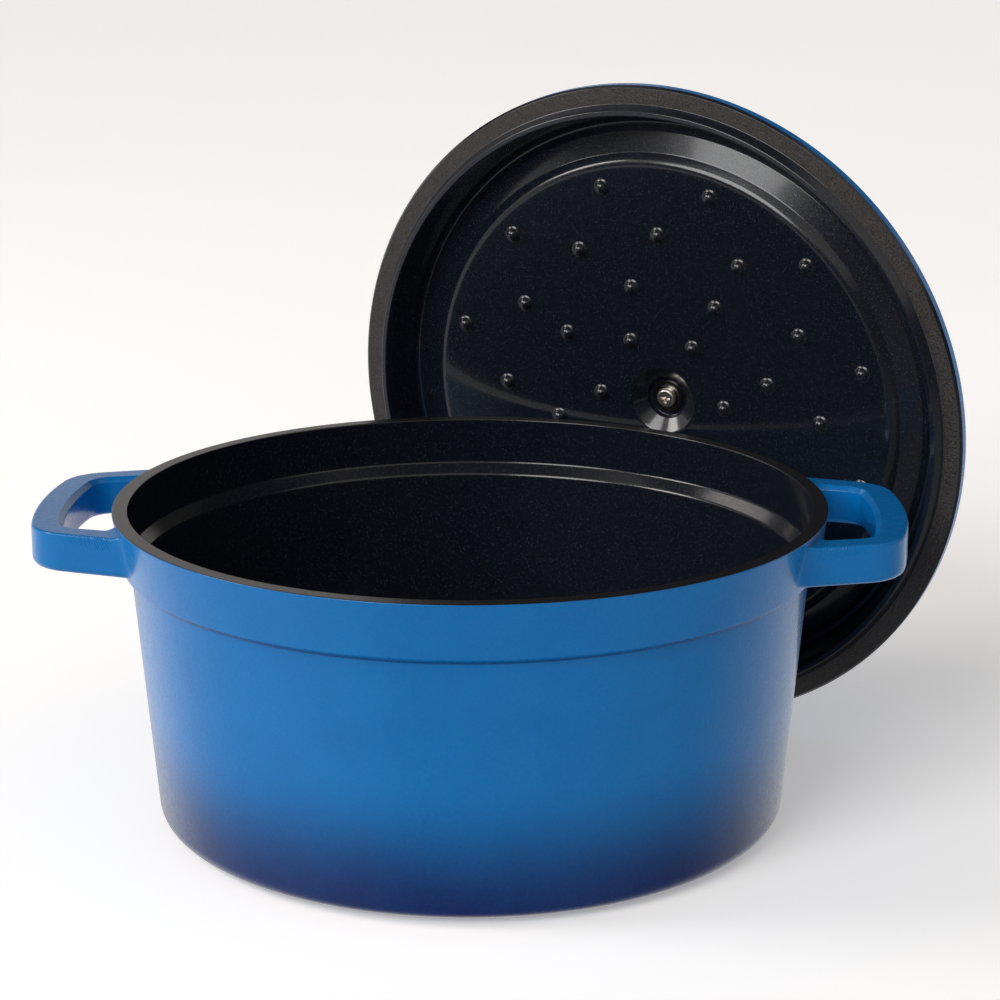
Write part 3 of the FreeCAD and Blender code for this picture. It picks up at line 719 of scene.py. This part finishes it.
def build_lid():
    """The lid's casting: from the recess out along its dark underside, and back over its blue outside."""
    panel = spherical(RECESS_FUNNEL, PANEL_EDGE, PANEL_RISE, PANEL_SPHERE, PANEL_STEPS)
    dome = spherical(WELL_EDGE, BOSS + BOSS_FLARE, DOME_RISE, DOME_SPHERE, PANEL_STEPS)
    corners = [(SCREW_HOLE, RECESS_RISE, 0, "inside"), (RECESS, RECESS_RISE, 0.4, "inside")]
    corners += [(RECESS_MOUTH, RECESS_MOUTH_RISE, 0.8, "inside"), (*panel[0], 3.0, "inside")]
    corners += [(r, z, 0, "inside") for r, z in panel[1:-1]]
    corners += [
        (*panel[-1], 5.0, "inside"),
        (BORDER_OUTER, BORDER_RISE, 2.0, "inside"),
        (CHANNEL_INNER, CHANNEL_INNER_RISE, 2.5, "inside"),
        (CHANNEL_OUTER, CHANNEL_OUTER_RISE, 2.0, "inside"),
        (LIP_INNER, -LIP_HEIGHT, 0.7, "inside"),
        (LIP_INNER + LIP_WIDTH, -LIP_HEIGHT, 0.7, "inside"),
        (FLANGE_INNER, 0, 0.6, "flange"),
        (RIM - LID_EDGE_BEVEL, 0, 0.3, "inside"),
        (RIM, LID_EDGE_RISE, 0.4, "outside"),
        (RIM, LID_EDGE_TOP, 0.6, "outside"),
        (RIM - LID_SLOPE, LID_SLOPE_RISE, 1.0, "outside"),
        (SKIRT, SKIRT_RISE, 2.0, "outside"),
        (WALL_HEAD, WALL_HEAD_RISE, 2.0, "outside"),
        (RIDGE_OUTER, RIDGE_RISE, 2.0, "outside"),
        (RIDGE_INNER, RIDGE_RISE, 2.0, "outside"),
        (*dome[0], 2.0, "outside"),
    ]
    corners += [(r, z, 0, "outside") for r, z in dome[1:-1]]
    corners += [(*dome[-1], 2.0, "outside"), (BOSS, BOSS_RISE, 0.6, "outside")]
    corners += [(SCREW_HOLE, BOSS_RISE, 0, "outside")]
    surfaces = {"inside": DARK, "flange": FLANGE, "outside": LID_BLUE}
    return turned("lid_casting", corners, surfaces, place=LID_PLACE)


def panel_height(radius):
    """Height of the underside's panel at a radius."""
    return PANEL_RISE - PANEL_SPHERE + math.sqrt(PANEL_SPHERE**2 - radius * radius)


def build_bumps():
    """Every basting bump as a low ball with a soft foot that sinks just into the panel."""
    ball = [math.radians(72) * k / 10 for k in range(11)]
    profile = [(BUMP * math.sin(a), BUMP * math.cos(a)) for a in ball]
    profile += [(BUMP + 0.35 * BUMP_FLARE, 0.35 * BUMP_FLARE), (BUMP_FOOT - 0.3, 0.06), (BUMP_FOOT, -0.04)]
    profile += [(BUMP_FOOT, -BUMP_SUNK), (0.0, -BUMP_SUNK)]
    vertices, faces = [], []
    for ring, count, start in BUMP_RINGS:
        for n in range(count):
            a = math.radians(start) + math.tau * n / count
            tilt = math.asin(ring / PANEL_SPHERE)
            spot = Vector((ring * math.cos(a), ring * math.sin(a), panel_height(ring)))
            turn = Matrix.Rotation(a, 3, "Z") @ Matrix.Rotation(math.pi + tilt, 3, "Y")
            points, rings = spun(profile, BUMP_SIDES, len(vertices))
            vertices += [(spot + turn @ point) * MM for point in points]
            for low, high in zip(rings, rings[1:]):
                faces += faces_between(high, low)
    return new_object("lid_bumps", vertices, faces, [0] * len(faces), [DARK], LID_PLACE)


# ---- Assembly ----

vessel = build_vessel()
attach(vessel, "pot")
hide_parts("pot_body")
for label, side in (("pot_handle_left", -1), ("pot_handle_right", 1)):
    handle = build_handle(label, side)
    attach(handle, "pot")
    even_shading(handle)
even_shading(vessel)

lid = build_lid()
even_shading(lid)
bumps = build_bumps()
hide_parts("lid_body")
for piece in (lid, bumps):
    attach(piece, "lid")

SMALL_PARTS = {
    "knob_gasket": RUBBER,
    "knob_base_plate": BRUSHED_STEEL,
    "knob_shell": BRUSHED_STEEL,
    "knob_insert": BRASS,
    "knob_screw": BRIGHT_STEEL,
    "lock_washer": DULL_STEEL,
    "flat_washer": DULL_STEEL,
}
for node, material in SMALL_PARTS.items():
    dress(smooth_cad(node), material)


# ---- Stage, light and camera ----


def floor():
    """A wide pale floor with a faint glow of its own. Shiny pieces don't mirror it."""
    half = 30
    mesh = bpy.data.meshes.new("floor")
    corners = [(-half, -half, 0), (half, -half, 0), (half, half, 0), (-half, half, 0)]
    mesh.from_pydata(corners, [], [(0, 1, 2, 3)])
    s = Shader("floor_pale")
    s.set(Base_Color=s.mix(s.noise(3, 2.0), (0.93, 0.93, 0.93, 1), (0.95, 0.95, 0.95, 1)), Roughness=0.9)
    s.set(Specular_IOR_Level=0.1, Emission_Color=(1, 1, 1, 1), Emission_Strength=0.3)
    mesh.materials.append(s.material)
    made = bpy.data.objects.new("floor", mesh)
    made.visible_glossy = False
    bpy.context.scene.collection.objects.link(made)


def softbox(name, place, target, size, power, tint):
    """A square lamp that faces its target."""
    light = bpy.data.lights.new(name, "AREA")
    light.shape = "SQUARE"
    light.size = size
    light.energy = power
    light.color = tint
    made = bpy.data.objects.new(name, light)
    made.location = place
    made.rotation_euler = (Vector(target) - Vector(place)).to_track_quat("-Z", "Y").to_euler()
    bpy.context.scene.collection.objects.link(made)


def overhead(azimuth, height, spread, strength):
    """A wide soft light like a large canopy, with its angles in degrees.

    The azimuth is 0 in front and negative to the left, and the height is 0 at eye level."""
    light = bpy.data.lights.new("overhead", "SUN")
    light.angle = math.radians(spread)
    light.energy = strength
    made = bpy.data.objects.new("overhead", light)
    a, e = math.radians(azimuth), math.radians(height)
    towards = Vector((math.sin(a) * math.cos(e), -math.cos(a) * math.cos(e), math.sin(e)))
    made.rotation_euler = towards.to_track_quat("Z", "Y").to_euler()
    bpy.context.scene.collection.objects.link(made)


def surroundings():
    """A room that is dim at eye level in front, and lighter and warm above.

    Its backdrop and ground are pale, and there is a low glow at the far left."""
    world = bpy.data.worlds.new("studio")
    world.use_nodes = True
    tree = world.node_tree

    def ramp(axis, low, high, strength):
        """0 on one side of an axis's range, eased up to a strength on the other."""
        made = tree.nodes.new("ShaderNodeMapRange")
        made.interpolation_type = "SMOOTHSTEP"
        tree.links.new(axis, made.inputs["Value"])
        for name, x in (("From Min", low), ("From Max", high), ("To Min", 0.0), ("To Max", strength)):
            made.inputs[name].default_value = x
        return made.outputs["Result"]

    def combine(operation, a, b):
        made = tree.nodes.new("ShaderNodeMath")
        made.operation = operation
        for socket, value in zip(made.inputs, (a, b)):
            if isinstance(value, float):
                socket.default_value = value
            else:
                tree.links.new(value, socket)
        return made.outputs[0]

    split = tree.nodes.new("ShaderNodeSeparateXYZ")
    tree.links.new(tree.nodes.new("ShaderNodeTexCoord").outputs["Generated"], split.inputs[0])
    x, y, z = (split.outputs[axis] for axis in "XYZ")
    sides = combine("ADD", ramp(x, -0.1, -0.9, 0.5), ramp(x, 0.1, 0.9, 0.1))
    ground = combine("MULTIPLY", ramp(z, 0.05, -0.25, 1.0), combine("ADD", sides, 0.08))
    high = combine("MULTIPLY", ramp(z, 0.26, 0.42, 0.55), ramp(z, 0.97, 0.84, 1.0))
    high = combine("MULTIPLY", high, ramp(y, 0.5, 0.0, 1.0))
    backdrop = combine("MULTIPLY", ramp(y, -0.1, 0.75, 0.65), ramp(z, 0.4, 0.28, 1.0))
    low_glow = combine("MULTIPLY", ramp(z, -0.1, 0.05, 1.0), ramp(z, 0.45, 0.3, 1.0))
    left_glow = combine("MULTIPLY", low_glow, ramp(x, -0.86, -0.96, 0.6))
    near = combine("ADD", combine("ADD", ground, left_glow), 0.06)
    total = combine("ADD", combine("ADD", backdrop, high), near)
    tint = tree.nodes.new("ShaderNodeMix")
    tint.data_type = "RGBA"
    tint.inputs[6].default_value = (1, 1, 1, 1)
    tint.inputs[7].default_value = (1, 0.93, 0.87, 1)
    tree.links.new(ramp(z, 0.0, 0.3, 1.0), tint.inputs["Factor"])
    background = tree.nodes["Background"]
    tree.links.new(tint.outputs[2], background.inputs["Color"])
    tree.links.new(total, background.inputs["Strength"])
    bpy.context.scene.world = world


def camera():
    """Looks down a little on the pot from the front, at a spot beside the middle of its rim."""
    pitch, yaw = math.radians(15.18), math.radians(2.8)
    distance = 1.150
    across, above = 0.0120, -0.00035
    lens, sensor = 101.8, 36
    ahead = Vector((-math.sin(yaw) * math.cos(pitch), math.cos(yaw) * math.cos(pitch), -math.sin(pitch)))
    right = Vector((math.cos(yaw), math.sin(yaw), 0))
    up = right.cross(ahead)
    data = bpy.data.cameras.new("camera")
    data.sensor_width = sensor
    data.lens = lens
    made = bpy.data.objects.new("camera", data)
    made.matrix_world = Matrix((right, up, -ahead)).transposed().to_4x4()
    made.location = Vector((0, 0, POT_TOP * MM)) - ahead * distance + right * across + up * above
    bpy.context.scene.collection.objects.link(made)
    bpy.context.scene.camera = made


floor()
surroundings()
overhead(azimuth=-32, height=30, spread=34, strength=1.55)
softbox("key_left", (-1.9, -0.25, 1.35), target=(0, 0, 0.1), size=0.8, power=18, tint=(1.0, 0.95, 0.9))
camera()
bpy.context.scene.view_settings.view_transform = "Standard"
